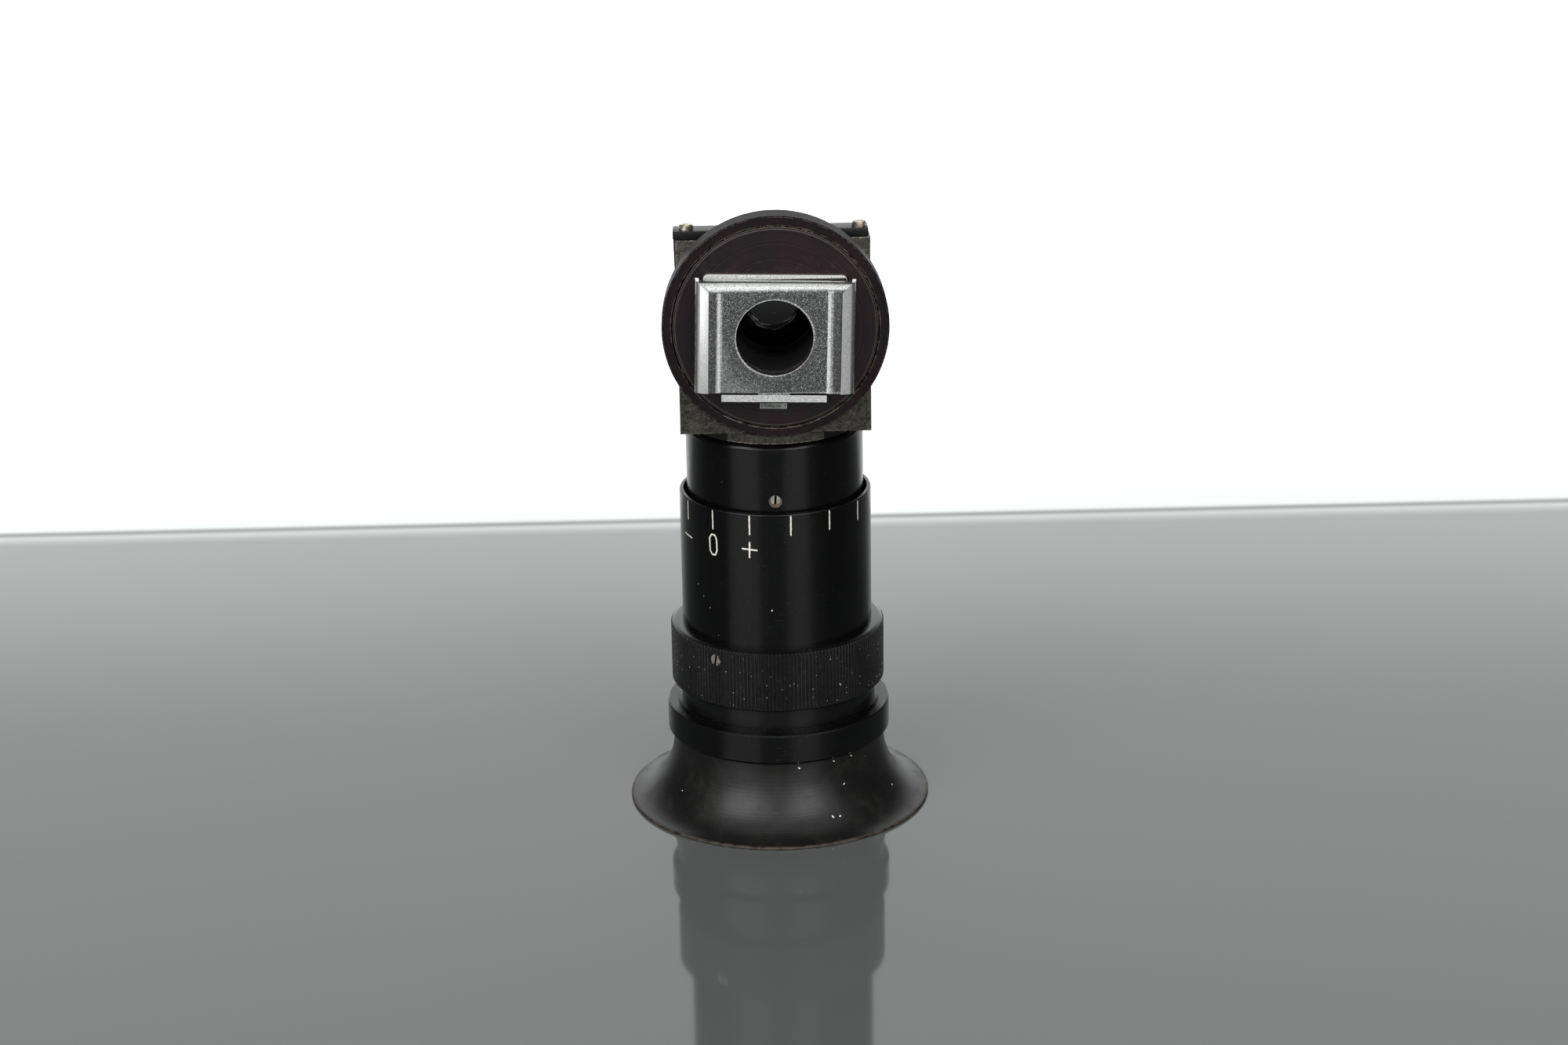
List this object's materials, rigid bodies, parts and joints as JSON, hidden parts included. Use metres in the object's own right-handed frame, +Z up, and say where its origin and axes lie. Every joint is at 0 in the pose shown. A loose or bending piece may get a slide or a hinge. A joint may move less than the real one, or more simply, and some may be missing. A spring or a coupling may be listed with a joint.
{
  "type": "right-angle viewfinder attachment",
  "caption": "Right-angle finder for a reflex camera, standing on its flared eyecup: knurled dioptre ring, round tube, prism box and a swivelling steel eyepiece shoe.",
  "frame": {"origin": "centre of the eyecup's lip, on the surface that the finder stands on", "axes": "+Z up the eyepiece tube, -Y out of the camera shoe along the line of sight, +X to the right seen from the shoe side"},
  "size_m": [0.0512, 0.0567, 0.1067],
  "materials": {
    "eyecup": "matt black hard rubber",
    "eyecup_ring": "black anodised, satin",
    "ocular_barrel": "black anodised, satin",
    "eye_lens": "polished, coated",
    "eye_lens_ring": "matt black anodised",
    "lens_spacer": "matt black anodised",
    "field_lens": "polished, coated",
    "field_lens_ring": "matt black anodised",
    "field_stop": "matt black anodised",
    "knurled_ring": "black anodised, fine straight knurl",
    "dioptre_sleeve": "black anodised, satin, white scale marks",
    "sleeve_bush": "turned",
    "ring_set_screws": "nickel plated, worn",
    "fixed_tube": "black anodised, satin",
    "sleeve_retainer": "turned",
    "guide_screw": "nickel plated, worn",
    "tube_lock_ring": "turned",
    "prism_housing": "grey-brown hammered lacquer on a die casting",
    "prism_cradle": "matt black anodised",
    "prism": "polished, hypotenuse silvered",
    "prism_pads": "black felt",
    "cover_plate": "satin black enamel",
    "cover_screws": "nickel plated, worn",
    "flange_cup": "black anodised, faded to purple brown",
    "flange_screws": "nickel plated",
    "objective_lens": "polished, coated",
    "objective_ring": "matt black anodised",
    "swivel_washer": "vulcanised fibre",
    "swivel_disc": "black anodised, faded to purple brown, turned",
    "hub_ring": "turned",
    "base_plate": "plated, dull",
    "base_screws": "nickel plated",
    "shoe_spacer": "black anodised",
    "shoe_frame": "plated sheet steel, satin grain"
  },
  "bodies": {
    "eyepiece": {"eyecup": "eyecup", "eyecup_ring": "eyecup_ring", "ocular_barrel": "ocular_barrel", "eye_lens": "eye_lens", "eye_lens_ring": "eye_lens_ring", "lens_spacer": "lens_spacer", "field_lens": "field_lens", "field_lens_ring": "field_lens_ring", "field_stop": "field_stop"},
    "housing": {"fixed_tube": "fixed_tube", "sleeve_retainer": "sleeve_retainer", "guide_screw": "guide_screw", "tube_lock_ring": "tube_lock_ring", "prism_housing": "prism_housing", "prism_cradle": "prism_cradle", "prism": "prism", "prism_pads": "prism_pads", "cover_plate": "cover_plate", "cover_screws": "cover_screws", "flange_cup": "flange_cup", "flange_screws": "flange_screws", "objective_lens": "objective_lens", "objective_ring": "objective_ring", "swivel_washer": "swivel_washer"},
    "dioptre_ring": {"knurled_ring": "knurled_ring", "dioptre_sleeve": "dioptre_sleeve", "sleeve_bush": "sleeve_bush", "ring_set_screws": "ring_set_screws"},
    "shoe": {"swivel_disc": "swivel_disc", "hub_ring": "hub_ring", "base_plate": "base_plate", "base_screws": "base_screws", "shoe_spacer": "shoe_spacer", "shoe_frame": "shoe_frame"}
  },
  "joints": [
    {"name": "focus_travel", "type": "slide", "parent": "eyepiece", "child": "housing", "axis": [0, 0, 1], "range_m": [-0.00318, 0.0013]},
    {"name": "dioptre_turn", "type": "hinge", "parent": "housing", "child": "dioptre_ring", "pos_m": [0, 0, 0.0264], "axis": [0, 0, 1], "range_deg": [-56.8, 139.2]},
    {"name": "shoe_swivel", "type": "hinge", "parent": "housing", "child": "shoe", "pos_m": [0, -0.0259, 0.089], "axis": [0, -1, 0], "continuous": true}
  ],
  "couplings": [
    {"joint": "dioptre_turn", "follows": "focus_travel", "rad_per_m": -763.58}
  ]
}
